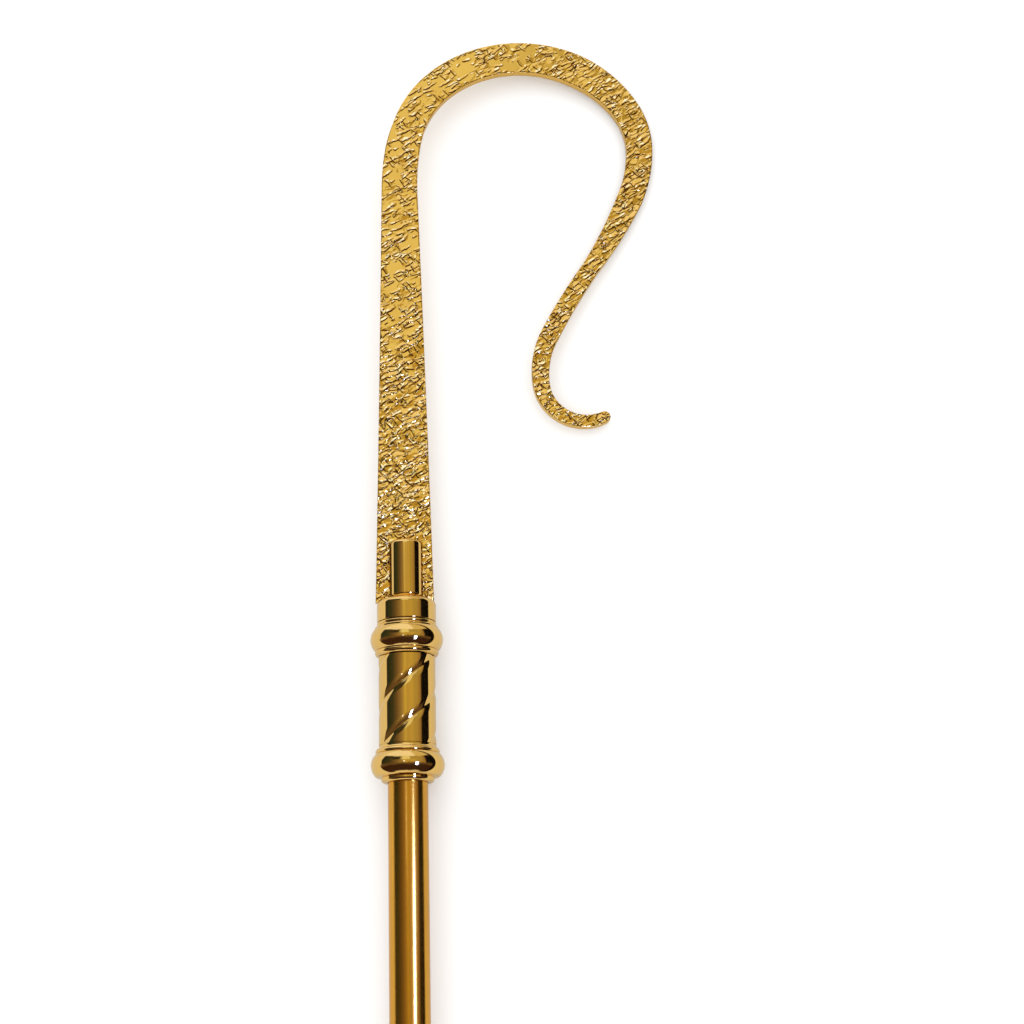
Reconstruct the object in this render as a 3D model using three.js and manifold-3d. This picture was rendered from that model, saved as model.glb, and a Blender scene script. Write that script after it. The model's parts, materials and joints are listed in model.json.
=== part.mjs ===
// A bishop's crosier lying on the ground: a flat hammered crook, held in a slotted socket above a
// knop of two moulded rings and a twisted sleeve, on a tubular staff with a plain foot.
//
// Millimetres. The crosier is made along +Y, foot to crook, with its axis on x = z = 0, its crook in
// the XY plane and y = 0 at the lower end of the knop. One group then tilts it so that the foot, the
// lower ring and the bow of the crook all touch z = 0, and puts the origin under the middle of it.

import * as THREE from 'three';
import * as BufferGeometryUtils from 'three/addons/utils/BufferGeometryUtils.js';
import Module from 'manifold-3d';

const wasm = await Module();
wasm.setup();

// ---------------------------------------------------------------- driving dimensions

const FIT = 0.3;                 // clearance between neighbouring pieces
const FACETS = 40;               // sides of a turned piece
const ARC_STEPS = 2;             // a moulding's arc has twice as many edges
const MAX_BEND_STEP = 6;         // degrees of bend in one edge of the crook's outline

// staff and foot
const STAFF_RADIUS = 12.5;
const STAFF_WALL = 1.5;
const STAFF_BELOW_KNOP = 1286;   // makes the crosier 1.8 m long
const SOCKET_RADIUS = STAFF_RADIUS + FIT;
const FOOT_LENGTH = 42;
const FOOT_FLOOR = 6;            // thickness of the closed end
const FOOT_RADIUS = 14;
const FOOT_BEAD_RADIUS = 14.8;
const FOOT_BEAD_HEIGHT = 40.3;   // the bead round the foot's mouth, above its end
const FOOT_EDGE = 3;             // rounding of the end's rim

// knop: heights of its seams above its lower end, and the radii of its mouldings
const SLEEVE_START = 23.4;
const SLEEVE_END = 79.2;
const COLLAR_START = 101.7;
const COLLAR_END = 116;
const COLLAR_SOCKET = 8;         // how far the staff's tube reaches into the collar
const RING_RADIUS = 23;          // largest radius of both torus mouldings
const RING_CURVE = 9.8;          // radius of the torus mouldings' section
const RING_HALF_HEIGHT = 6.9;
const LOWER_RING_CENTRE = 10.8;
const UPPER_RING_CENTRE = 90.4;
const BEAD_RADIUS = 20.1;        // the thin beads beside each torus
const COLLAR_RADIUS = 18.7;
const COLLAR_SHOULDER = 3.5;

// twisted sleeve: three shallow grooves that climb to the right
const SLEEVE_RADIUS = 17.9;
const GROOVES = 3;
const GROOVE_LEAD = 81.6;        // rise of a groove in one full turn
const GROOVE_PHASE = 64;         // height at which one groove crosses the front
const GROOVE_DEPTH = 0.9;
const GROOVE_ABOVE = 5.7;        // reach of the hollow above and below a groove's line
const GROOVE_BELOW = 4.5;
const SLEEVE_ROWS = 14;

// boss that clasps the crook
const BOSS_RADIUS = 11.2;
const BOSS_END = 155.1;
const BOSS_ROUNDING = 3;
const NECK_RADIUS = 9.4;
const NECK_HEIGHT = 0.9;

// crook: a tapered bar cut from plate, bent in its own plane
const PLATE = 6;
const PLATE_EDGE = 0.6;          // broken edge of the plate
const CROOK_START = 114.9;
const CROOK_OFFSET = -1;         // the stem stands this far left of the staff's axis
const CROOK_WIDTH = 37.2;        // at the socket
const CROOK_BENDS = [            // length, bend to the right in degrees, width at the end
  [285, -0.5, 24.25],            // stem
  [30, 9, 23.5],
  [19, 10, 22],
  [50, 37.5, 22.5],              // rise of the bow
  [92, 60.5, 23],                // top of the bow
  [43, 30, 19.75],
  [34, 34.5, 18],                // tightest turn, at the far side
  [39, 23.5, 17.5],
  [58, 10, 11.75],               // return, sloping back towards the stem
  [56, -7, 12.75],
  [36, -34, 11.25],
  [55, -109.5, 7.75],            // final hook, curling the other way
];
const TIP_STEPS = 6;

// ---------------------------------------------------------------- finishes

function gilt(name, color, roughness) {
  return new THREE.MeshStandardMaterial({ name, color, roughness, metalness: 1 });
}

const finishes = {
  hammered: gilt('hammered_gilt', 0xc8a050, 0.3),
  polished: gilt('polished_gilt', 0xd6a850, 0.08),
  brushed: gilt('brushed_gilt', 0xc79a45, 0.3),
};

// ---------------------------------------------------------------- turned work

// Points of a turned profile, with the doubled ends between its lines and arcs taken out.
function profilePoints(path) {
  const points = path.getPoints(ARC_STEPS);
  return points.filter((point, i) => i === 0 || point.distanceTo(points[i - 1]) > 1e-6);
}

function turned(path) {
  return new THREE.LatheGeometry(profilePoints(path), FACETS);
}

// A moulding of round section, from its lower edge up over its crest. It is drawn as an arc of the
// given radius of curvature whose crest is at the given distance from the axis.
function addTorus(path, crest, height, curve, halfHeight) {
  const reach = Math.asin(halfHeight / curve);
  path.absarc(crest - curve, height, curve, -reach, reach, false);
}

// A quarter hollow that draws in from a wide lower edge to a narrow upper one.
function addCove(path, wide, height, radius) {
  path.absarc(wide, height + radius, radius, -Math.PI / 2, -Math.PI, true);
}

function lowerRing() {
  const torusFoot = LOWER_RING_CENTRE - RING_HALF_HEIGHT;
  const torusHead = LOWER_RING_CENTRE + RING_HALF_HEIGHT;
  const path = new THREE.Path();
  path.moveTo(SOCKET_RADIUS, 0);
  path.lineTo(13.8, 0);
  path.absarc(14.4, 2.2, 2.2, -Math.PI / 2, 0, false);        // rounded bead under the torus
  path.lineTo(16.2, torusFoot - 0.5);
  path.lineTo(19.6, torusFoot - 0.2);
  addTorus(path, RING_RADIUS, LOWER_RING_CENTRE, RING_CURVE, RING_HALF_HEIGHT);
  path.lineTo(19.4, torusHead + 0.2);
  addTorus(path, BEAD_RADIUS, torusHead + 1.4, 1.4, 1);
  addCove(path, 19.9, 20.5, 2);
  path.lineTo(SLEEVE_RADIUS, SLEEVE_START - FIT);
  path.lineTo(SOCKET_RADIUS, SLEEVE_START - FIT);
  path.closePath();
  return turned(path);
}

function upperRing() {
  const torusFoot = UPPER_RING_CENTRE - RING_HALF_HEIGHT;
  const torusHead = UPPER_RING_CENTRE + RING_HALF_HEIGHT;
  const beadStart = SLEEVE_END + FIT;
  const path = new THREE.Path();
  path.moveTo(SOCKET_RADIUS, beadStart);
  path.lineTo(SLEEVE_RADIUS, beadStart);
  path.absarc(BEAD_RADIUS - 2.2, beadStart + 2.4, 2.2, -Math.PI / 3, Math.PI / 6, false);
  path.lineTo(19.3, torusFoot - 0.4);
  addTorus(path, RING_RADIUS, UPPER_RING_CENTRE, RING_CURVE, RING_HALF_HEIGHT);
  path.lineTo(BEAD_RADIUS, torusHead + 0.8);
  addCove(path, BEAD_RADIUS - 0.2, torusHead + 0.8, 1.4);
  addTorus(path, COLLAR_RADIUS + 0.1, 100.4, 1.2, 1);         // thin bead under the collar
  path.lineTo(18.2, COLLAR_START - FIT);
  path.lineTo(SOCKET_RADIUS, COLLAR_START - FIT);
  path.closePath();
  return turned(path);
}

function staffTube() {
  const inside = STAFF_RADIUS - STAFF_WALL;
  const end = COLLAR_START + COLLAR_SOCKET - FIT;             // it stops inside the collar
  const start = FOOT_FLOOR + FIT - STAFF_BELOW_KNOP;          // and inside the foot
  const path = new THREE.Path();
  path.moveTo(inside, start);
  path.lineTo(STAFF_RADIUS, start);
  path.lineTo(STAFF_RADIUS, end);
  path.lineTo(inside, end);
  path.closePath();
  return turned(path);
}

function footFerrule() {
  const end = -STAFF_BELOW_KNOP;
  const mouth = end + FOOT_LENGTH;
  const path = new THREE.Path();
  path.moveTo(0, end);
  path.lineTo(FOOT_RADIUS - FOOT_EDGE, end);
  path.absarc(FOOT_RADIUS - FOOT_EDGE, end + FOOT_EDGE, FOOT_EDGE, -Math.PI / 2, 0, false);
  path.lineTo(FOOT_RADIUS, end + FOOT_BEAD_HEIGHT - 1.7);
  addTorus(path, FOOT_BEAD_RADIUS, end + FOOT_BEAD_HEIGHT, 1.7, 1.6);
  path.lineTo(SOCKET_RADIUS, mouth - 0.1);
  path.lineTo(SOCKET_RADIUS, end + FOOT_FLOOR);
  path.lineTo(0, end + FOOT_FLOOR);
  return turned(path);
}

// ---------------------------------------------------------------- cutting

function toSolid(geometry) {
  const bare = geometry.clone();
  bare.deleteAttribute('normal');
  bare.deleteAttribute('uv');
  const merged = BufferGeometryUtils.mergeVertices(bare, 1e-5);
  return new wasm.Manifold(new wasm.Mesh({
    numProp: 3,
    vertProperties: new Float32Array(merged.attributes.position.array),
    triVerts: new Uint32Array(merged.index.array),
  }));
}

function fromSolid(solid) {
  const mesh = solid.getMesh();
  const geometry = new THREE.BufferGeometry();
  geometry.setAttribute('position', new THREE.BufferAttribute(mesh.vertProperties, 3));
  geometry.setIndex(new THREE.BufferAttribute(mesh.triVerts, 1));
  geometry.computeVertexNormals();
  return geometry;
}

// ---------------------------------------------------------------- twisted sleeve

// How much the sleeve is hollowed at a distance below a groove's line, between two grooves.
function grooveDepth(drop, pitch) {
  const below = 1 - drop / GROOVE_BELOW;
  const above = 1 - (pitch - drop) / GROOVE_ABOVE;
  return GROOVE_DEPTH * Math.max(below, above, 0) ** 1.6;
}

// The columns of a plain turned sleeve are moved onto the grooves' lines and turned with them.
function twistedSleeve() {
  const pitch = GROOVE_LEAD / GROOVES;
  const land = pitch - GROOVE_ABOVE - GROOVE_BELOW;
  const drops = [0, 0.25, 0.6, 1].map((part) => part * GROOVE_BELOW)
    .concat([0.2, 0.4, 0.6, 0.8, 1].map((part) => GROOVE_BELOW + part * land))
    .concat([0.55, 0.25].map((part) => pitch - part * GROOVE_ABOVE));
  const columns = GROOVES * drops.length;

  const profile = [new THREE.Vector2(0, SLEEVE_START)];
  for (let row = 0; row <= SLEEVE_ROWS; row++) {
    const y = THREE.MathUtils.lerp(SLEEVE_START, SLEEVE_END, row / SLEEVE_ROWS);
    profile.push(new THREE.Vector2(SLEEVE_RADIUS, y));
  }
  profile.push(new THREE.Vector2(0, SLEEVE_END));

  const geometry = new THREE.LatheGeometry(profile, columns);
  const position = geometry.attributes.position;
  for (let i = 0; i < position.count; i++) {
    const column = Math.floor(i / profile.length) % columns;
    const corner = profile[i % profile.length];
    const drop = drops[column % drops.length];
    const climb = corner.y - GROOVE_PHASE + Math.floor(column / drops.length) * pitch + drop;
    const angle = 2 * Math.PI * climb / GROOVE_LEAD;
    const radius = corner.x && corner.x - grooveDepth(drop, pitch);
    position.setXYZ(i, radius * Math.sin(angle), corner.y, radius * Math.cos(angle));
  }
  const bore = new THREE.CylinderGeometry(SOCKET_RADIUS, SOCKET_RADIUS, 3 * SLEEVE_END, FACETS);
  return fromSolid(toSolid(geometry).subtract(toSolid(bore)));
}

// ---------------------------------------------------------------- socket of the crook

// Collar and boss are one turned piece. The plate of the crook stands in a slot that runs down
// through the boss and a little way into the collar.
function crookSocket() {
  const path = new THREE.Path();
  path.moveTo(0, COLLAR_START + COLLAR_SOCKET);
  path.lineTo(SOCKET_RADIUS, COLLAR_START + COLLAR_SOCKET);
  path.lineTo(SOCKET_RADIUS, COLLAR_START);
  path.lineTo(COLLAR_RADIUS - 0.5, COLLAR_START);
  path.lineTo(COLLAR_RADIUS, COLLAR_START + 0.5);
  const shoulder = COLLAR_RADIUS - COLLAR_SHOULDER;
  path.absarc(shoulder, COLLAR_END - COLLAR_SHOULDER, COLLAR_SHOULDER, 0, Math.PI / 2, false);
  path.lineTo(NECK_RADIUS, COLLAR_END);
  path.lineTo(NECK_RADIUS, COLLAR_END + NECK_HEIGHT);
  path.absarc(BOSS_RADIUS - 1.8, COLLAR_END + NECK_HEIGHT + 1.8, 1.8, -Math.PI / 2, 0, false);
  path.absarc(BOSS_RADIUS - BOSS_ROUNDING, BOSS_END - BOSS_ROUNDING, BOSS_ROUNDING, 0, Math.PI / 2,
    false);
  path.lineTo(0, BOSS_END);

  const floor = CROOK_START - FIT;
  const slotHeight = BOSS_END - floor + 10;
  const slot = new THREE.BoxGeometry(4 * COLLAR_RADIUS, slotHeight, PLATE + 2 * FIT);
  slot.translate(0, floor + slotHeight / 2, 0);
  return fromSolid(toSolid(turned(path)).subtract(toSolid(slot)));
}

// ---------------------------------------------------------------- crook

// Walks along the bends and returns the places, headings and widths of the crook's centre line.
function crookStations() {
  const stations = [];
  let x = CROOK_OFFSET;
  let y = CROOK_START;
  let heading = Math.PI / 2;
  let width = CROOK_WIDTH;
  stations.push({ x, y, heading, width });
  for (const [length, bend, endWidth] of CROOK_BENDS) {
    const steps = Math.max(1, Math.ceil(Math.abs(bend) / MAX_BEND_STEP));
    const turn = THREE.MathUtils.degToRad(-bend) / steps;
    const chord = (length / steps) * Math.sin(turn / 2) / (turn / 2);
    const startWidth = width;
    for (let step = 1; step <= steps; step++) {
      x += chord * Math.cos(heading + turn / 2);
      y += chord * Math.sin(heading + turn / 2);
      heading += turn;
      width = THREE.MathUtils.lerp(startWidth, endWidth, step / steps);
      stations.push({ x, y, heading, width });
    }
  }
  return stations;
}

// The plate's outline: up one side, round the tip and back down the other.
function crookOutline() {
  const stations = crookStations();
  const beside = ({ x, y, heading, width }, turn) => new THREE.Vector2(
    x + (width / 2) * Math.cos(heading + turn), y + (width / 2) * Math.sin(heading + turn));
  const right = stations.map((station) => beside(station, -Math.PI / 2));
  const left = stations.map((station) => beside(station, Math.PI / 2));
  const tip = [];
  for (let step = 1; step < TIP_STEPS; step++) {
    tip.push(beside(stations.at(-1), Math.PI * (step / TIP_STEPS - 0.5)));
  }
  return [...right, ...tip, ...left.reverse()];
}

function crook() {
  const geometry = new THREE.ExtrudeGeometry(new THREE.Shape(crookOutline()), {
    depth: PLATE - 2 * PLATE_EDGE,
    bevelThickness: PLATE_EDGE,
    bevelSize: PLATE_EDGE,
    bevelOffset: -PLATE_EDGE,
    bevelSegments: 1,
  });
  geometry.translate(0, 0, PLATE_EDGE - PLATE / 2);
  return geometry;
}

// ---------------------------------------------------------------- the crosier, laid down

const crookPlate = crook();

// The ground touches the foot's bead and the lower ring, so the staff's axis climbs a little towards
// the crook. About that axis the crook rolls until the first point of its bow is on the ground too.
const footContact = FOOT_BEAD_HEIGHT - STAFF_BELOW_KNOP;
const pitch = Math.asin((RING_RADIUS - FOOT_BEAD_RADIUS) / (LOWER_RING_CENTRE - footContact));
let roll = Math.PI / 2;
for (let i = 0; i < crookPlate.attributes.position.count; i++) {
  const point = new THREE.Vector3().fromBufferAttribute(crookPlate.attributes.position, i);
  const axisHeight = RING_RADIUS + (point.y - LOWER_RING_CENTRE) * Math.sin(pitch);
  const reach = Math.hypot(point.x, point.z);
  if (point.x > 0 && reach > axisHeight) {
    roll = Math.min(roll, Math.asin(axisHeight / reach) + Math.atan2(point.z, point.x));
  }
}

const crosier = new THREE.Group();
for (const [name, geometry, finish] of [
  ['crook', crookPlate, finishes.hammered],
  ['crook_socket', crookSocket(), finishes.polished],
  ['upper_ring', upperRing(), finishes.polished],
  ['twisted_sleeve', twistedSleeve(), finishes.polished],
  ['lower_ring', lowerRing(), finishes.polished],
  ['staff_tube', staffTube(), finishes.brushed],
  ['foot_ferrule', footFerrule(), finishes.polished],
]) {
  const mesh = new THREE.Mesh(geometry, finish);
  mesh.name = name;
  crosier.add(mesh);
}
crosier.rotation.set(pitch, roll, 0);

const box = new THREE.Box3().setFromObject(crosier, true);
const middle = box.getCenter(new THREE.Vector3());
crosier.position.set(-middle.x, -middle.y, -box.min.z);

const group = new THREE.Group();
group.add(crosier);

export default group;
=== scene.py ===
import json
import math

import bpy
import numpy as np
from mathutils import Matrix, Vector


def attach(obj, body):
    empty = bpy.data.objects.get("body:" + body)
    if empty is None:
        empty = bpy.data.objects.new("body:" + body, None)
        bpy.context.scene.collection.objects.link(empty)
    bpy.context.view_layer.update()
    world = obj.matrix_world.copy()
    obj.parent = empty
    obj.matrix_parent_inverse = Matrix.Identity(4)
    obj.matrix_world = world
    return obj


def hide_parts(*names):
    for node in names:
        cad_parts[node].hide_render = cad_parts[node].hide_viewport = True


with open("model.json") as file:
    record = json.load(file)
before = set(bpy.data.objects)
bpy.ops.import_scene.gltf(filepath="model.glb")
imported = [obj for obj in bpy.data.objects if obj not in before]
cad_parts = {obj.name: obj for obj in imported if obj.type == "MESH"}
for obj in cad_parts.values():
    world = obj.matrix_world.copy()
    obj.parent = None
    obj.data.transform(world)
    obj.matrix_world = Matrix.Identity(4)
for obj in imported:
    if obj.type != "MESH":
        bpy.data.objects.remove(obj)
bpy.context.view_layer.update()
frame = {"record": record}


# ---- Camera. It hangs over the upper end of the crosier, a little to its foot side, and looks down
# on the crook and the knop; most of the staff runs out of view.

camera_right = Vector((0.99759, -0.02343, -0.06523)).normalized()
camera_back = Vector((0.05616, -0.27846, 0.95880)).normalized()
camera_up = camera_back.cross(camera_right).normalized()
camera_right = camera_up.cross(camera_back)
camera_data = bpy.data.cameras.new("view")
camera_data.lens = 66.8
camera_data.sensor_width = 36
camera_data.clip_start = 0.01
camera_data.clip_end = 100
camera = bpy.data.objects.new("view", camera_data)
camera.matrix_world = Matrix.Translation((0.06377, 0.21762, 1.1970)) @ Matrix(
    (camera_right, camera_up, camera_back)).transposed().to_4x4()
bpy.context.collection.objects.link(camera)
bpy.context.scene.camera = camera


# ---- Studio. A pale matt floor under a white tent; polished metal also sees the tent's darker
# strips, the opening at its foot end and a few small lamps.

class Field:
    """A number that varies over a surface or with direction, and takes Python's arithmetic."""

    def __init__(self, bench, socket):
        self.bench = bench
        self.socket = socket

    def math(self, operation, *values):
        inputs = dict(enumerate(values))
        return self.bench.node("ShaderNodeMath", {"operation": operation}, inputs)["Value"]

    def __add__(self, other):
        return self.math("ADD", self, other)

    def __sub__(self, other):
        return self.math("SUBTRACT", self, other)

    def __rsub__(self, other):
        return self.math("SUBTRACT", other, self)

    def __mul__(self, other):
        return self.math("MULTIPLY", self, other)

    def __truediv__(self, other):
        return self.math("DIVIDE", self, other)

    def __pow__(self, other):
        return self.math("POWER", self, other)

    def __neg__(self):
        return self.math("MULTIPLY", self, -1.0)

    def __lt__(self, other):
        return self.math("LESS_THAN", self, other)

    def __gt__(self, other):
        return self.math("GREATER_THAN", self, other)

    __radd__ = __add__
    __rmul__ = __mul__

    def least(self, other):
        return self.math("MINIMUM", self, other)

    def most(self, other):
        return self.math("MAXIMUM", self, other)

    def size(self):
        return self.math("ABSOLUTE", self)

    def between(self, low, high, smooth=True):
        """0 below low, 1 above high, and a ramp between them; low may be the larger."""
        kind = "SMOOTHSTEP" if smooth else "LINEAR"
        return self.bench.node("ShaderNodeMapRange", {"interpolation_type": kind}, {
            "Value": self, "From Min": low, "From Max": high, "To Min": 0.0, "To Max": 1.0,
        })["Result"]


class Outputs:
    """A node's outputs by name, as fields."""

    def __init__(self, bench, node):
        self.bench = bench
        self.node = node

    def __getitem__(self, name):
        return Field(self.bench, self.node.outputs[name])


class Bench:
    """Adds nodes to a tree: a node's settings come first, then its sockets' values or links."""

    def __init__(self, tree):
        self.tree = tree
        tree.nodes.clear()

    def node(self, kind, settings=None, inputs=None):
        node = self.tree.nodes.new(kind)
        for name, value in (settings or {}).items():
            if name == "stops":
                ramp = node.color_ramp
                while len(ramp.elements) < len(value):
                    ramp.elements.new(0.5)
                for element, (place, color) in zip(ramp.elements, value):
                    element.position = place
                    element.color = (*color, 1.0)
            else:
                setattr(node, name, value)
        for name, value in (inputs or {}).items():
            socket = node.inputs[name]
            if isinstance(value, Field):
                self.tree.links.new(value.socket, socket)
            elif socket.type == "RGBA":
                socket.default_value = (*value, 1.0)
            else:
                socket.default_value = value
        return Outputs(self, node)

    def inputs(self, **kinds):
        """Names the inputs of a geometry tree and gives them as fields."""
        for name, kind in kinds.items():
            self.tree.interface.new_socket(name, in_out="INPUT", socket_type="NodeSocket" + kind)
        return self.node("NodeGroupInput")

    def keep(self, geometry, finish):
        """Ends a geometry tree."""
        self.tree.interface.new_socket("Result", in_out="OUTPUT",
                                       socket_type="NodeSocketGeometry")
        real = self.node("GeometryNodeRealizeInstances", inputs={"Geometry": geometry})
        self.node("NodeGroupOutput", inputs={"Result": self.node("GeometryNodeSetMaterial", inputs={
            "Geometry": real["Geometry"], "Material": finish})["Geometry"]})

    def blend(self, share, first, second):
        """A colour between two others."""
        return self.node("ShaderNodeMix", {"data_type": "RGBA"}, {
            0: share, 6: first, 7: second})[2]

    def parts(self, vector):
        """A vector's X, Y and Z."""
        return self.node("ShaderNodeSeparateXYZ", inputs={0: vector})

    def vector(self, x=0.0, y=0.0, z=0.0):
        return self.node("ShaderNodeCombineXYZ", inputs={0: x, 1: y, 2: z})["Vector"]


tent_white = (0.99, 0.93, 0.86)
tent = bpy.data.worlds.new("tent")
tent.use_nodes = True
bpy.context.scene.world = tent
bench = Bench(tent.node_tree)
toward = bench.node("ShaderNodeTexCoord")["Generated"]
sides = bench.parts(toward)
# uneven edges, as the tent's cloth hangs in folds
folds = bench.parts(bench.node("ShaderNodeTexNoise", inputs={
    "Vector": toward, "Scale": 3.6, "Detail": 2.5})["Color"])
# degrees round the staff's axis from straight up to the right, and degrees towards its head
turned = (sides["X"].math("ARCTAN2", sides["X"], sides["Z"]) * math.degrees(1)
          + (folds["Y"] - 0.5) * 9.0)
raised = sides["Y"].math("ARCSINE", sides["Y"]) * math.degrees(1) + (folds["X"] - 0.5) * 22.0
strips = bench.node("ShaderNodeValToRGB", {"stops": [((degrees + 180) / 360, color)
                                                     for degrees, color in [
    (-180, tent_white),
    (-85, tent_white),
    (-82, (0.022, 0.026, 0.026)),
    (-66, (0.034, 0.045, 0.030)),
    (-55, (0.052, 0.058, 0.036)),
    (-45, (0.115, 0.088, 0.048)),
    (-34, (0.20, 0.136, 0.075)),
    (-22, (0.33, 0.24, 0.115)),
    (-10, (0.49, 0.37, 0.147)),
    (0, (0.72, 0.60, 0.172)),
    (8, (0.60, 0.46, 0.150)),
    (24, (0.66, 0.52, 0.160)),
    (36, (0.53, 0.43, 0.150)),
    (48, (0.52, 0.40, 0.145)),
    (62, (0.36, 0.24, 0.115)),
    (66, (0.005, 0.004, 0.004)),
    (97, (0.005, 0.004, 0.004)),
    (100, tent_white),
    (180, tent_white),
]]}, {0: turned / 360.0 + 0.5})["Color"]
overhead = bench.blend(turned.between(10, 17), (0.97, 0.95, 0.68), (0.50, 0.42, 0.16))
overhead = bench.blend(turned.between(-8, -22), overhead, (0.05, 0.04, 0.02))
lit = bench.blend(raised.between(15, 21) * turned.between(-60, -40) * turned.between(60, 50),
                  strips, overhead)
head_end = bench.blend(turned.between(24, 40), (1.12, 1.12, 1.20), (0.80, 0.70, 0.45))
lit = bench.blend(raised.between(36, 46), lit, head_end)
lit = bench.blend(raised.between(4, -12), lit, (0.16, 0.10, 0.055))
lit = bench.blend(raised.between(-10, -22), lit, (0.050, 0.022, 0.015))
lit = bench.blend(raised.between(-58, -70), lit, tent_white)
mirrored = bench.node("ShaderNodeBackground", inputs={"Color": lit})["Background"]
daylight = bench.node("ShaderNodeBackground", inputs={
    "Color": (1.0, 1.0, 1.0), "Strength": 1.5})["Background"]
ray = bench.node("ShaderNodeLightPath")
bench.node("ShaderNodeOutputWorld", inputs={"Surface": bench.node("ShaderNodeMixShader", inputs={
    0: ray["Is Glossy Ray"], 1: daylight, 2: mirrored})["Shader"]})

# Two lamps hang near the staff, so that the crook, further up, doesn't see them. Each has degrees
# round the staff, a place along it, a width, a length, a colour and a strength.
LAMP_DISTANCE = 0.5
for name, around, y, width, length, color, strength in [
        ("strip_lamp", 35.5, 0.295, 0.060, 0.20, (0.22, 0.32, 1.0), 56.0),
        ("small_lamp", -4.5, 0.425, 0.025, 0.03, (0.3, 0.4, 1.0), 10.0)]:
    lamp_data = bpy.data.lights.new(name, "AREA")
    lamp_data.shape = "RECTANGLE"
    lamp_data.size, lamp_data.size_y = width, length
    lamp_data.color = color
    lamp_data.energy = strength * math.pi * width * length
    lamp = bpy.data.objects.new(name, lamp_data)
    lamp.matrix_world = (Matrix.Translation((-0.0738, y, 0.0235)) @ Matrix.Rotation(
        math.radians(around), 4, "Y") @ Matrix.Translation((0, 0, LAMP_DISTANCE)))
    lamp.visible_diffuse = False
    bpy.context.collection.objects.link(lamp)

floor_mesh = bpy.data.meshes.new("floor")
floor_mesh.from_pydata([(-6, -6, 0), (6, -6, 0), (6, 6, 0), (-6, 6, 0)], [], [(0, 1, 2, 3)])
floor = bpy.data.objects.new("floor", floor_mesh)
bpy.context.collection.objects.link(floor)
# polished metal sees a painted reflection: a darker copy of the floor, and a painted near-black
# strip to the right of the crosier; camera and diffuse rays see the pale floor
floor_paint = bpy.data.materials.new("pale_floor")
floor_paint.use_nodes = True
bench = Bench(floor_paint.node_tree)
place = bench.parts(bench.node("ShaderNodeTexCoord")["Object"])
pale = bench.node("ShaderNodeBsdfDiffuse", inputs={"Color": (0.86, 0.86, 0.86)})["BSDF"]
# painted reflection: darker floor, near-black beyond x = 0.11 m, seen only by glossy rays
painted_reflection = bench.node("ShaderNodeBsdfDiffuse", inputs={"Color": bench.blend(
    place["X"].between(0.085, 0.11), (0.62, 0.58, 0.48), (0.004, 0.003, 0.003))})["BSDF"]
bench.node("ShaderNodeOutputMaterial", inputs={"Surface": bench.node("ShaderNodeMixShader", inputs={
    0: bench.node("ShaderNodeLightPath")["Is Glossy Ray"], 1: pale, 2: painted_reflection})["Shader"]})
floor_mesh.materials.append(floor_paint)

bpy.context.scene.view_settings.view_transform = "Standard"
bpy.context.scene.view_settings.look = "None"


# ---- Staff tube. Thin-walled gilt brass tube, drawn and then finished in a lathe, so fine rings
# run round it. Its upper end passes up through the knop and its lower end stands in the foot.

RING_RADIUS = 23.0          # widest turned part, which the crosier lies on
LOWER_RING_CENTRE = 10.8    # its height above the knop's lower end
FOOT_BEAD_RADIUS = 14.8     # the foot's widest part
FOOT_BEAD_HEIGHT = 40.3     # above the foot's end
STAFF_BELOW_KNOP = 1286.0
STAFF_RADIUS = 12.5
STAFF_WALL = 1.5
CROOK_ROLL = math.radians(7.6459)   # the crook leans over until its bow is on the ground

# Sizes are millimetres of the upright crosier, with y = 0 at the knop's lower end; laid_down turns
# them into the place where the crosier lies.
axis_climb = math.asin((RING_RADIUS - FOOT_BEAD_RADIUS)
                       / (LOWER_RING_CENTRE - FOOT_BEAD_HEIGHT + STAFF_BELOW_KNOP))
turned_down = Matrix.Rotation(axis_climb, 4, "X") @ Matrix.Rotation(CROOK_ROLL, 4, "Y")
foot_end = Vector(frame["record"]["mounts"][0]["pos_m"])
laid_down = (Matrix.Translation(foot_end) @ turned_down
             @ Matrix.Translation((0, STAFF_BELOW_KNOP / 1000, 0)) @ Matrix.Scale(0.001, 4))


def arc(x, y, radius, start, end, steps=10):
    """Points of an arc of a profile, between two angles in degrees."""
    angles = np.radians(np.linspace(start, end, steps + 1))
    return [(x + radius * math.cos(a), y + radius * math.sin(a)) for a in angles]


def upright_piece(name, points, faces):
    mesh = bpy.data.meshes.new(name)
    mesh.from_pydata(points, [], faces)
    piece = bpy.data.objects.new(name, mesh)
    bpy.context.collection.objects.link(piece)
    return piece


def turned_piece(name, profile, sides=128):
    """Turns a closed profile of (radius, height) points, which runs up its outside, about the axis.
    """
    rings = []
    for here, after in zip(profile, profile[1:] + profile[:1]):
        rings.append(here)
        length = math.dist(here, after)
        if length > 2.0:        # rings near both ends keep a straight span's shading straight
            rings += [tuple(a + (b - a) * share for a, b in zip(here, after))
                      for share in (0.2 / length, 1 - 0.2 / length)]
    points, faces = [], []
    for radius, height in rings:
        for side in range(sides):
            angle = 2 * math.pi * side / sides
            points.append((radius * math.sin(angle), height, radius * math.cos(angle)))
    for row in range(len(rings)):
        above = (row + 1) % len(rings)
        for side in range(sides):
            after = (side + 1) % sides
            faces.append((row * sides + side, row * sides + after,
                          above * sides + after, above * sides + side))
    return upright_piece(name, points, faces)


def lay_down(piece, finish, node):
    """Puts an upright piece where it lies, smooth but for its sharp corners, for a node's solid."""
    piece.data.transform(laid_down)
    piece.data.validate()
    piece.data.shade_smooth()
    piece.data.set_sharp_from_angle(angle=math.radians(32))
    piece.data.materials.clear()
    piece.data.materials.append(finish)
    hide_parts(node)
    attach(piece, "root")


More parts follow.
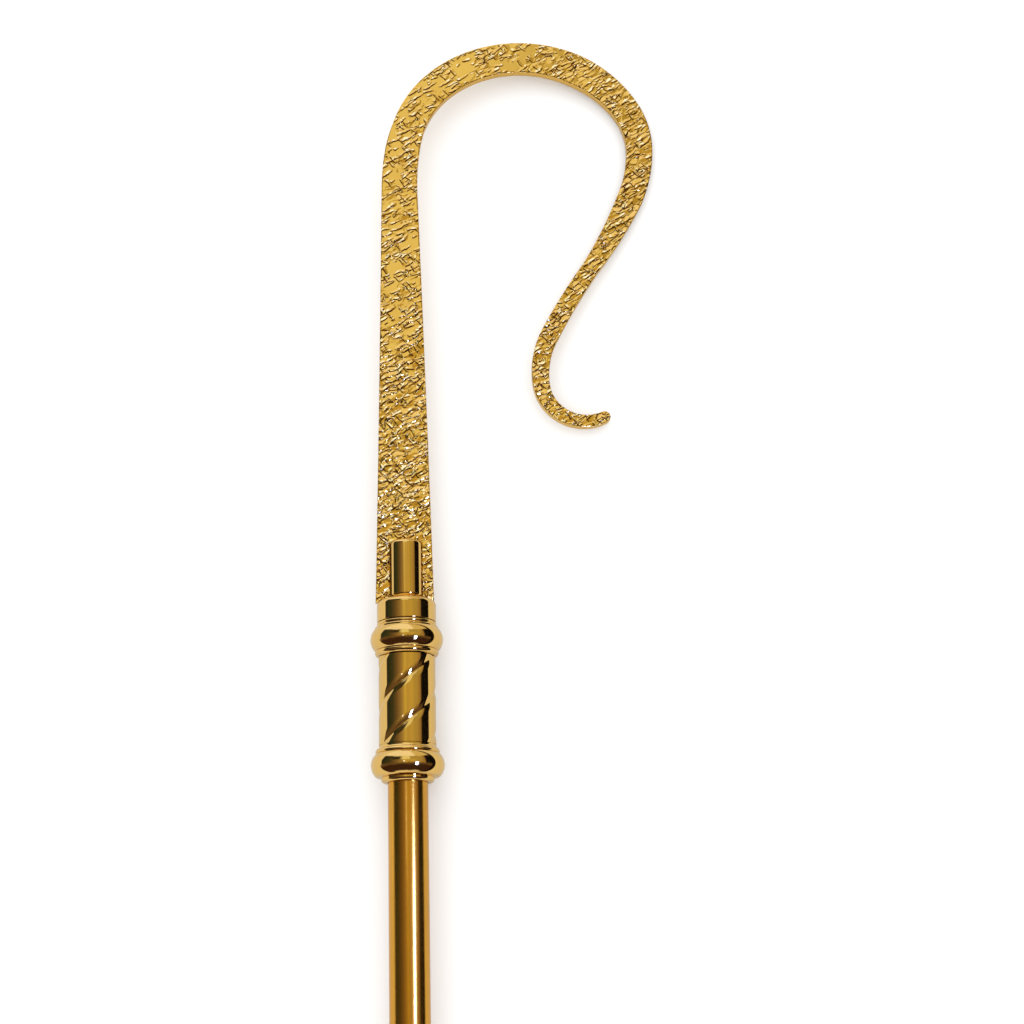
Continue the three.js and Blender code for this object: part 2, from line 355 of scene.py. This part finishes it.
staff_inside = STAFF_RADIUS - STAFF_WALL
staff_foot, staff_head = 6.3 - STAFF_BELOW_KNOP, 109.4
staff_tube = turned_piece("staff", [
    (staff_inside, staff_foot), (STAFF_RADIUS, staff_foot),
    *[(STAFF_RADIUS, y) for y in np.linspace(staff_foot + 20, staff_head - 20, 60)],
    (STAFF_RADIUS, staff_head), (staff_inside, staff_head),
])


def upright_place(bench):
    """A point of a piece's surface in millimetres of the upright crosier."""
    return bench.node("ShaderNodeMapping", {"vector_type": "TEXTURE"}, {
        "Vector": bench.node("ShaderNodeTexCoord")["Object"],
        "Location": laid_down.translation, "Rotation": laid_down.to_euler("XYZ"),
        "Scale": (0.001, 0.001, 0.001)})["Vector"]


def clouds(bench, place, scale):
    """Soft uneven patches, from 0 to 1."""
    return bench.node("ShaderNodeTexNoise", inputs={
        "Vector": place, "Scale": scale, "Detail": 5.0, "Roughness": 0.55})["Fac"].between(0.3, 0.7)


def gilt(name, color, roughness, lines, line_height, smudge, coat=0.4):
    """Gilt brass with the fine rings that turning and polishing leave."""
    material = bpy.data.materials.new(name)
    material.use_nodes = True
    bench = Bench(material.node_tree)
    upright = upright_place(bench)
    place = bench.parts(upright)
    rings = bench.node("ShaderNodeTexNoise", inputs={
        "Vector": bench.vector(place["X"] * 0.012, place["Y"] * lines, place["Z"] * 0.012),
        "Scale": 1.0, "Detail": 3.0, "Roughness": 0.6})["Fac"]
    shade = clouds(bench, upright, 0.045)
    bench.node("ShaderNodeOutputMaterial", inputs={"Surface": bench.node(
        "ShaderNodeBsdfPrincipled", inputs={
            "Base Color": bench.blend(shade, color, tuple(c * 0.93 for c in color)),
            "Metallic": 1.0,
            "Roughness": shade * smudge + roughness,
            "Coat Weight": coat,
            "Normal": bench.node("ShaderNodeBump", inputs={
                "Height": rings * line_height, "Strength": 1.0, "Distance": 0.001})["Normal"],
        })["BSDF"]})
    return material


brushed_gilt = gilt("brushed_gilt", (0.70, 0.365, 0.055), 0.15, lines=2.4, line_height=0.040,
                    smudge=0.05, coat=0.0)
lay_down(staff_tube, brushed_gilt, "staff_tube")


# ---- Foot. A plain turned ferrule, closed at its end, with one bead round its mouth; it is pushed
# on to the staff and takes the knocks of the ground.

foot = -STAFF_BELOW_KNOP
polished_gilt = gilt("polished_gilt", (0.80, 0.53, 0.165), 0.05, lines=3.0, line_height=0.004,
                     smudge=0.04)
foot_ferrule = turned_piece("foot", [
    (0.01, foot), (11, foot), *arc(11, foot + 3, 3, -88, 0, 8),
    (14, foot + 38.4),
    *arc(13.1, foot + 40.3, 1.7, -70, 70),
    (13.4, foot + 41.95), (12.8, foot + 41.9), (12.8, foot + 6), (0.01, foot + 6),
])
lay_down(foot_ferrule, polished_gilt, "foot_ferrule")


# ---- Lower ring of the knop. Turned from solid brass, bored for the staff and gilt: a rounded bead,
# a bold torus, a thin bead and a cove that meets the sleeve.

lower_ring = turned_piece("lower_ring", [
    (12.8, 0), (13.8, 0), *arc(14.4, 2.2, 2.2, -80, 0),
    (16.5, 3.0), (19.2, 3.45), (19.6, 3.7),
    *arc(13.2, 10.8, 9.8, -44.76, 44.76, 24),
    (19.4, 17.9),
    *arc(18.7, 19.1, 1.4, -46, 46),
    *arc(19.9, 22.5, 2, -100, -176, 8),
    (17.9, 23.1), (12.8, 23.1),
])
lay_down(lower_ring, polished_gilt, "lower_ring")


# ---- Twisted sleeve. A turned sleeve on the staff between the two rings, worked with three shallow
# grooves that climb to the right, each crisp on its upper side and soft below.

twisted_sleeve = turned_piece("twisted_sleeve", [
    (12.8, 23.4), *[(17.9, y) for y in np.linspace(23.4, 79.2, 140)], (12.8, 79.2)], sides=240)

twist = bpy.data.node_groups.new("twist", "GeometryNodeTree")
bench = Bench(twist)
given = bench.inputs(Sleeve="Geometry", Grooves="Float", Lead="Float", Phase="Float",
                     Depth="Float", Above="Float", Below="Float", Bore="Float",
                     Finish="Material")
place = bench.parts(bench.node("GeometryNodeInputPosition")["Position"])
turn = place["X"].math("ARCTAN2", place["X"], place["Z"]) / (2 * math.pi)
pitch = given["Lead"] / given["Grooves"]
climb = given["Phase"] + given["Lead"] * turn - place["Y"]
drop = climb.math("FLOORED_MODULO", climb, pitch)
hollow = (1 - drop / given["Below"]).most(1 - (pitch - drop) / given["Above"]).most(0.0) ** 1.6
radius = (place["X"] * place["X"] + place["Z"] * place["Z"]) ** 0.5
sunk = -given["Depth"] * hollow * (radius > given["Bore"]) / radius
bench.keep(bench.node("GeometryNodeSetPosition", inputs={
    "Geometry": given["Sleeve"], "Offset": bench.vector(place["X"] * sunk, z=place["Z"] * sunk)})[
        "Geometry"], given["Finish"])


def applied(piece, step):
    """Keeps the plain mesh that a modifier makes of a piece, without the modifier."""
    piece.update_tag()
    bpy.context.view_layer.update()
    view = bpy.context.evaluated_depsgraph_get()
    blank = piece.data
    piece.data = bpy.data.meshes.new_from_object(piece.evaluated_get(view), depsgraph=view)
    piece.modifiers.remove(step)
    bpy.data.meshes.remove(blank)


def worked(piece, tree, **values):
    """Puts a piece through a tree, with these values on its named inputs."""
    step = piece.modifiers.new(tree.name, "NODES")
    step.node_group = tree
    for socket in tree.interface.items_tree:
        if socket.in_out == "INPUT" and socket.name in values:
            step[socket.identifier] = values[socket.name]
    applied(piece, step)


worked(twisted_sleeve, twist, Grooves=3.0, Lead=81.6, Phase=64.0, Depth=0.9, Above=5.7, Below=4.5,
       Bore=15.0, Finish=polished_gilt)
lay_down(twisted_sleeve, polished_gilt, "twisted_sleeve")


# ---- Upper ring of the knop. The lower ring's fellow, with a half bead over the sleeve, the torus,
# a cove and a thin bead under the collar.

upper_ring = turned_piece("upper_ring", [
    (12.8, 79.5), (17.9, 79.5), *arc(17.9, 81.9, 2.2, -60, 34),
    (19.3, 83.1),
    *arc(13.2, 90.4, 9.8, -44.76, 44.76, 24),
    (20.1, 98.0), *arc(19.9, 99.5, 1.4, -95, -176, 8),
    *arc(17.6, 100.4, 1.2, -56, 56),
    (18.2, 101.4), (12.8, 101.4),
])
lay_down(upper_ring, polished_gilt, "upper_ring")


# ---- Socket of the crook. Collar and boss are one turned piece, bored below for the staff and
# slotted across for the plate of the crook, which stands in it.

crook_socket = turned_piece("crook_socket", [
    (0.01, 109.7), (12.8, 109.7), (12.8, 101.7), (18.2, 101.7), *arc(18.2, 102.2, 0.5, -80, 0, 4),
    *arc(15.2, 112.5, 3.5, 0, 90),
    (9.9, 116), (9.5, 116.2), (9.5, 116.7), (9.7, 116.9),
    *arc(8.2, 119.9, 3, -82, 0),
    *arc(8.2, 152.1, 3, 0, 88, 12), (0.01, 155.1),
])
slot = upright_piece("slot", [
    (x, y, z) for x in (-40, 40) for y in (114.6, 170) for z in (-3.3, 3.3)], [
    (0, 1, 3, 2), (4, 6, 7, 5), (0, 4, 5, 1), (2, 3, 7, 6), (0, 2, 6, 4), (1, 5, 7, 3)])
saw = crook_socket.modifiers.new("slot", "BOOLEAN")
saw.operation = "DIFFERENCE"
saw.solver = "MANIFOLD"
saw.object = slot
applied(crook_socket, saw)
bpy.data.objects.remove(slot)
lay_down(crook_socket, polished_gilt, "crook_socket")


# ---- Crook. A tapered bar sawn from 6 mm brass plate and bent in its own plane, struck all over
# both faces with short chisel and hammer marks, its narrow edges left smooth, then gilt.

FLAT_PLATE = 5.6            # 6 mm over the ridges that the strokes throw up
CROOK_BENDS = [             # length, bend to the right in degrees, width at the end
    (285, -0.5, 24.25),     # stem
    (30, 9, 23.5),
    (19, 10, 22),
    (50, 37.5, 22.5),       # rise of the bow
    (92, 60.5, 23),         # top of the bow
    (43, 30, 19.75),
    (34, 34.5, 18),         # tightest turn, at the far side
    (39, 23.5, 17.5),
    (58, 10, 11.75),        # return, sloping back towards the stem
    (56, -7, 12.75),
    (36, -34, 11.25),
    (55, -109.5, 7.75),     # final hook, curling the other way
]
EDGE_ROUNDING = 0.6
FRONT_COLUMNS, BACK_COLUMNS, CROOK_ROWS = 42, 22, 1240
REAL_SHARE = 0.2            # of the relief, kept as mesh
STROKES = [                 # each with its slant, the room it has along and across, its half length,
                            # its widths above and below the crest, its height and its share
    (37, (11.0, 4.6), 5.4, (1.45, 0.95), 0.42, 0.70),
    (20, (9.0, 4.4), 3.8, (1.35, 0.90), 0.38, 0.50),
    (-50, (8.5, 4.6), 3.6, (1.15, 0.85), 0.36, 0.40),
    (40, (4.6, 3.4), 1.8, (1.10, 0.80), 0.30, 0.40),
]
STROKE_SHIFTS = (11.3, 47.1, 83.7, 29.9)    # so that no two kinds of stroke fall in step
FACET_SLANT, FACET_ROOM = 28, (8.0, 3.4)
DENSE_LENGTH = 810
DENSE_SHARES = [(0, 1.0), (115, 1.0), (175, 0.62), (280, 0.5), (420, 0.45), (520, 0.75), (600, 1.0),
                (640, 0.8), (810, 1.0)]

x, y, heading, width = -1.0, 114.9, math.pi / 2, 37.2
centre_line = [(x, y, width)]
for length, bend, end_width in CROOK_BENDS:
    steps = math.ceil(max(abs(bend) / 1.5, length / 8))
    turn = math.radians(-bend) / steps
    chord = length / steps * math.sin(turn / 2) / (turn / 2)
    for step in range(1, steps + 1):
        x += chord * math.cos(heading + turn / 2)
        y += chord * math.sin(heading + turn / 2)
        heading += turn
        centre_line.append((x, y, width + (end_width - width) * step / steps))
    width = end_width
line_data = bpy.data.curves.new("crook_line", "CURVE")
line_data.dimensions = "3D"
spline = line_data.splines.new("POLY")
spline.points.add(len(centre_line) - 1)
for point, (x, y, width) in zip(spline.points, centre_line):
    point.co = (x, y, 0, 1)
    point.radius = width / 2
crook_line = bpy.data.objects.new("crook_line", line_data)
bpy.context.collection.objects.link(crook_line)

# The straight blank: each row is a loop of (across, beyond, through), where across is a share of the
# flat's half width, beyond is added at its rounded edges, and through is the plate's thickness.
half = FLAT_PLATE / 2
corner = [(EDGE_ROUNDING * math.sin(math.radians(a)), half - EDGE_ROUNDING
           + EDGE_ROUNDING * math.cos(math.radians(a))) for a in (30, 60, 90)]
section = [(a, 0, half) for a in np.linspace(-1, 1, FRONT_COLUMNS + 1)]
section += [(1, out, z) for out, z in corner] + [(1, out, -z) for out, z in reversed(corner)]
section += [(a, 0, -half) for a in np.linspace(1, -1, BACK_COLUMNS + 1)]
section += [(-1, -out, -z) for out, z in corner] + [(-1, -out, z) for out, z in reversed(corner)]
crook_length = sum(bend[0] for bend in CROOK_BENDS)
tip = CROOK_BENDS[-1][2] / 2
rows = [0.0, *np.linspace(0, crook_length, CROOK_ROWS),
        *(crook_length + tip * np.sin(np.radians(np.linspace(6, 90, 15))))]
blank_points, blank_faces = [], []
for row, along in enumerate(rows):
    for column, (across, beyond, through) in enumerate(section):
        blank_points.append((across if row else 0.0, along, through))
        if row:
            here, after = column, (column + 1) % len(section)
            blank_faces.append((
                (row - 1) * len(section) + here, row * len(section) + here,
                row * len(section) + after, (row - 1) * len(section) + after))
crook = upright_piece("crook", blank_points, blank_faces)
for name, values in (
        ("beyond", [beyond if row else 0.0 for row in range(len(rows)) for _, beyond, _ in section]),
        ("along", [along for along in rows for _ in section])):
    crook.data.attributes.new(name, "FLOAT", "POINT").data.foreach_set("value", values)


def cells(bench, x, y, slant, room, shift=0.0):
    """Divides the face in slanting cells with this much room along and across: each one's own
    chances, the place in it from its middle, and the place for more of the same cells."""
    c, s = math.cos(math.radians(slant)), math.sin(math.radians(slant))
    place = bench.vector((x * c + y * s) / room[0] + shift, (y * c - x * s) / room[1] + shift)
    cell = bench.node("ShaderNodeTexVoronoi", {"voronoi_dimensions": "2D"}, {
        "Vector": place, "Scale": 1.0})
    off = bench.parts(bench.node("ShaderNodeVectorMath", {"operation": "SUBTRACT"}, {
        0: place, 1: cell["Position"]})["Vector"])
    return bench.parts(cell["Color"]), off, place


def struck_relief(bench, place, along):
    """How proud the crook's face stands, in millimetres: ridges thrown up by slanting strokes, over
    facets that tilt a little. Also a painted highlight along the upper flank of each stroke, and a
    painted shade along its lower flank, as if the light fell from above."""
    back = (place["Z"] < 0.0) * 61.0
    plane = bench.vector(place["X"] + back, place["Y"])
    dense = bench.node("ShaderNodeValToRGB", {"stops": [
        (length / DENSE_LENGTH, (share, share, share)) for length, share in DENSE_SHARES]}, {
        0: along / DENSE_LENGTH})["Color"]
    # geometry and material trees name this noise's first output differently
    patches = bench.node("ShaderNodeTexNoise", {"noise_dimensions": "2D"}, {
        "Vector": plane, "Scale": 0.08, "Detail": 1.0})[0]
    crowd = (dense + patches * 1.6 - 0.8).most(0.0).least(1.0)
    x, y = place["X"] + back, place["Y"]
    for scale, reach in ((0.10, 3.0), (0.30, 1.1)):
        waver = bench.parts(bench.node("ShaderNodeTexNoise", {"noise_dimensions": "2D"}, {
            "Vector": plane, "Scale": scale, "Detail": 1.0})["Color"])
        x, y = x + waver[0] * reach, y + waver[1] * reach

    relief = painted_highlight = painted_shade = None
    for (slant, room, half_length, (upper, lower), high, share), shift in zip(
            STROKES, STROKE_SHIFTS):
        chance, off, _ = cells(bench, x, y, slant, room, shift)
        lengthways, aside = off[0] * room[0], off[1] * room[1]
        made = chance[0] < crowd * share + 0.13
        ends = (2.4 - lengthways.size() * (2.4 / half_length)).least(1.0).most(0.0) * made
        ridge = (1 - aside / upper).least(1 + aside / lower).most(0.0) * ends
        ridge = ridge * (chance[1] * 0.4 + 0.75) * high
        from_start = (lengthways / half_length + 1.0) / 2.0
        highlight_start = chance[2] * 1.2
        # painted highlight: a pale streak down the stroke's upper flank, where the light would catch
        # it
        highlight_streak = (aside.between(0.12, 0.32) * aside.between(upper, upper * 0.8) * ends
                 * from_start.between(highlight_start - 0.25, highlight_start - 0.15)
                 * from_start.between(highlight_start + 0.22, highlight_start + 0.12))
        # painted shade: a dark streak along the stroke's lower flank, as if in its shadow
        shade_end = 1.25 - chance[1] * 0.9
        shade_streak = (aside.between(-0.02, -0.2) * aside.between(-lower * 1.1, -lower * 0.7) * ends
                * from_start.between(shade_end, shade_end - 0.1))
        relief = relief.most(ridge) if relief else ridge
        painted_highlight = painted_highlight.most(highlight_streak) if painted_highlight else highlight_streak
        painted_shade = painted_shade.most(shade_streak) if painted_shade else shade_streak

    chance, off, facet_place = cells(bench, x, y, FACET_SLANT, FACET_ROOM)
    edge = bench.node("ShaderNodeTexVoronoi", {
        "voronoi_dimensions": "2D", "feature": "DISTANCE_TO_EDGE"}, {
        "Vector": facet_place, "Scale": 1.0})["Distance"]
    lean = chance[1].between(0.45, 0.70) * 0.28 - 0.20
    tilt = off[0] * (chance[0] - 0.5) * 1.6 + off[1] * lean * FACET_ROOM[1]
    faceted = (crowd - 0.40).most(0.0).least(0.4) / 0.4
    return relief + tilt * edge.between(0.0, 0.14) * faceted, painted_highlight, painted_shade


bend_tree = bpy.data.node_groups.new("bend_and_strike", "GeometryNodeTree")
bench = Bench(bend_tree)
given = bench.inputs(Blank="Geometry", Line="Object", Length="Float", Rounding="Float",
                     Plate="Float", Strike="Float", Finish="Material")
place = bench.parts(bench.node("GeometryNodeInputPosition")["Position"])
across, along, through = place["X"], place["Y"], place["Z"]
beyond = bench.node("GeometryNodeInputNamedAttribute", {"data_type": "FLOAT"}, {
    "Name": "beyond"})["Attribute"]
line = bench.node("GeometryNodeObjectInfo", inputs={"Object": given["Line"]})["Geometry"]
spot = bench.node("GeometryNodeSampleCurve", {"mode": "LENGTH", "use_all_curves": False}, {
    "Curves": line, "Value": bench.node("GeometryNodeInputRadius")["Radius"],
    "Length": along.least(given["Length"])})
past_end = (along - given["Length"]).most(0.0)
half_width = ((spot["Value"] * spot["Value"] - past_end * past_end).most(0.0)) ** 0.5
inner = (half_width - given["Rounding"]).most(0.0)
aside = across * inner + beyond * (half_width / given["Rounding"]).least(1.0)
right = bench.node("ShaderNodeVectorMath", {"operation": "CROSS_PRODUCT"}, {
    0: spot["Tangent"], 1: (0.0, 0.0, 1.0)})["Vector"]


def moved(bench, start, vector, amount):
    return bench.node("ShaderNodeVectorMath", {"operation": "MULTIPLY_ADD"}, {
        0: vector, 1: bench.vector(amount, amount, amount), 2: start})["Vector"]


bent = moved(bench, spot["Position"], spot["Tangent"], past_end)
bent = moved(bench, bent, right, aside)
bent = moved(bench, bent, bench.vector(z=1.0), through)
shaped = bench.node("GeometryNodeSetPosition", inputs={
    "Geometry": given["Blank"], "Position": bent})["Geometry"]
shaped = bench.node("GeometryNodeMergeByDistance", inputs={
    "Geometry": shaped, "Distance": 0.001})["Geometry"]
place = bench.parts(bench.node("GeometryNodeInputPosition")["Position"])
on_face = place["Z"].size() > given["Plate"] / 2 - 0.01
along = bench.node("GeometryNodeInputNamedAttribute", {"data_type": "FLOAT"}, {
    "Name": "along"})["Attribute"]
relief, _, _ = struck_relief(bench, place, along)
proud = relief * on_face * given["Strike"] * place["Z"].math("SIGN", place["Z"])
bench.keep(bench.node("GeometryNodeSetPosition", inputs={
    "Geometry": shaped, "Offset": bench.vector(z=proud)})["Geometry"], given["Finish"])

hammered_gilt = bpy.data.materials.new("hammered_gilt")
hammered_gilt.use_nodes = True
bench = Bench(hammered_gilt.node_tree)
upright = upright_place(bench)
place = bench.parts(upright)
on_face = place["Z"].size().between(FLAT_PLATE / 2 - 0.3, FLAT_PLATE / 2 - 0.2)
relief, painted_highlight, painted_shade = struck_relief(
    bench, place, bench.node("ShaderNodeAttribute", {"attribute_name": "along"})["Fac"])
shade = clouds(bench, upright, 0.05)
color = bench.blend(shade, (0.82, 0.535, 0.145), (0.78, 0.49, 0.125))
# painted shade: the strokes' lower flanks darkened towards near-black brown
color = bench.blend(painted_shade * on_face * 0.85, color, (0.19, 0.062, 0.003))
# painted highlight: the strokes' upper flanks lightened towards pale gold
color = bench.blend(painted_highlight * on_face, color, (1.0, 0.86, 0.50))
bench.node("ShaderNodeOutputMaterial", inputs={"Surface": bench.node(
    "ShaderNodeBsdfPrincipled", inputs={
        "Base Color": color,
        "Metallic": 1.0,
        "Roughness": shade * 0.02 + 0.035,
        "Normal": bench.node("ShaderNodeBump", inputs={
            "Height": relief * on_face, "Strength": 1.0, "Distance": 0.001})["Normal"],
    })["BSDF"]})

worked(crook, bend_tree, Line=crook_line, Length=crook_length, Rounding=EDGE_ROUNDING,
       Plate=FLAT_PLATE, Strike=REAL_SHARE, Finish=hammered_gilt)
bpy.data.objects.remove(crook_line)
lay_down(crook, hammered_gilt, "crook")
